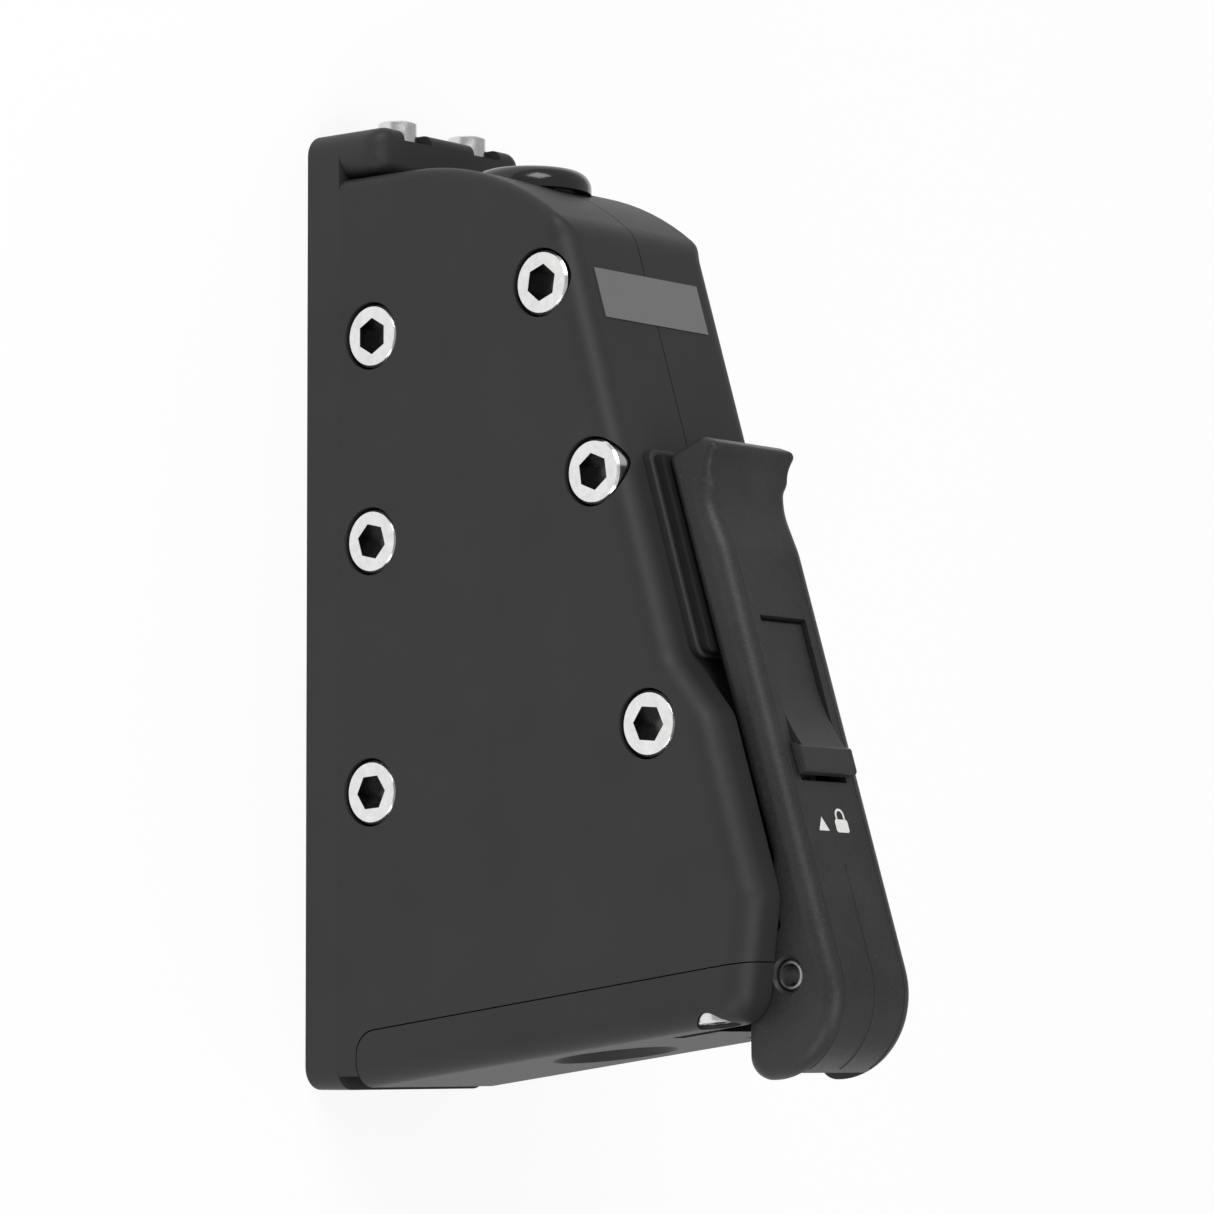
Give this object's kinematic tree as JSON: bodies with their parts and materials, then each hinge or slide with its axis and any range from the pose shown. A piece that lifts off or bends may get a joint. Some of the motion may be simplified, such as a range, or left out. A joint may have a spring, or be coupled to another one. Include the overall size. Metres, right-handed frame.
{
  "type": "rope clutch",
  "caption": "Side-mounting rope clutch with toothed jaws on parallel links, a lever handle with a sliding lock, and a base plate with an end lug.",
  "frame": {"origin": "centre of the base plate's flat bottom face", "axes": "+X from the line's entry end to its tail end, +Y across the casing, +Z away from the base plate"},
  "size_m": [0.254, 0.06, 0.1607],
  "materials": {
    "casing_coat": "matte dark anodised",
    "plate_coat": "matte dark anodised",
    "cap_coat": "matte dark anodised",
    "bush_gloss": "polished black",
    "screw_steel": "turned stainless",
    "inner_steel": "ground stainless",
    "jaw_coat": "hard anodised",
    "spring_steel": "drawn wire",
    "handle_nylon": "fibre-filled",
    "slider_nylon": "fibre-filled",
    "bearing_black": "bearing plastic",
    "pad_rubber": "matte rubber",
    "plate_grey": "satin film"
  },
  "bodies": {
    "body": {"base_plate": "plate_coat", "left_shell": "casing_coat", "right_shell": "casing_coat", "end_cap": "cap_coat", "entry_bush": "bush_gloss", "side_screws": "screw_steel", "side_nuts": "screw_steel", "link_pivots": "inner_steel", "lug_screws": "screw_steel", "lug_inserts": "inner_steel", "cap_screws": "screw_steel", "cap_inserts": "inner_steel", "lower_jaw": "jaw_coat", "jaw_spring": "spring_steel", "pivot_pin": "inner_steel", "pivot_spacers": "bearing_black", "lock_catch": "inner_steel", "pad_tray": "cap_coat", "rest_pad": "pad_rubber", "name_plate": "plate_grey"},
    "handle": {"handle": "handle_nylon", "handle_bushes": "bearing_black", "crank_pins": "inner_steel"},
    "slider": {"lock_slider": "slider_nylon", "lock_bolt": "inner_steel", "bolt_rivets": "inner_steel"},
    "entry_links": {"entry_link_left": "inner_steel", "entry_link_right": "inner_steel"},
    "tail_links": {"tail_link_left": "inner_steel", "tail_link_right": "inner_steel"},
    "upper_jaw": {"upper_jaw": "jaw_coat", "jaw_pins": "inner_steel", "pin_clips": "spring_steel", "lifting_arms": "inner_steel"}
  },
  "joints": [
    {"name": "handle_hinge", "type": "hinge", "parent": "body", "child": "handle", "pos_m": [0.0973, 0, 0.147], "axis": [0, 1, 0], "range_deg": [0, 100]},
    {"name": "lock_slide", "type": "slide", "parent": "handle", "child": "slider", "axis": [0.9565, 0, 0.2917], "range_m": [0, 0.005]},
    {"name": "entry_link_hinge", "type": "hinge", "parent": "body", "child": "entry_links", "pos_m": [-0.014, 0, 0.0959], "axis": [0, -1, 0], "range_deg": [0, 30.8]},
    {"name": "tail_link_hinge", "type": "hinge", "parent": "body", "child": "tail_links", "pos_m": [0.05, 0, 0.1151], "axis": [0, -1, 0], "range_deg": [0, 30.8]},
    {"name": "jaw_hinge", "type": "hinge", "parent": "entry_links", "child": "upper_jaw", "pos_m": [0.00473, 0, 0.0809], "axis": [0, 1, 0], "range_deg": [0, 30.8], "deforming": ["jaw_spring"]}
  ],
  "couplings": [
    {"joint": "entry_link_hinge", "follows": "handle_hinge", "ratio": 0.308},
    {"joint": "tail_link_hinge", "follows": "handle_hinge", "ratio": 0.308},
    {"joint": "jaw_hinge", "follows": "handle_hinge", "ratio": 0.308}
  ]
}
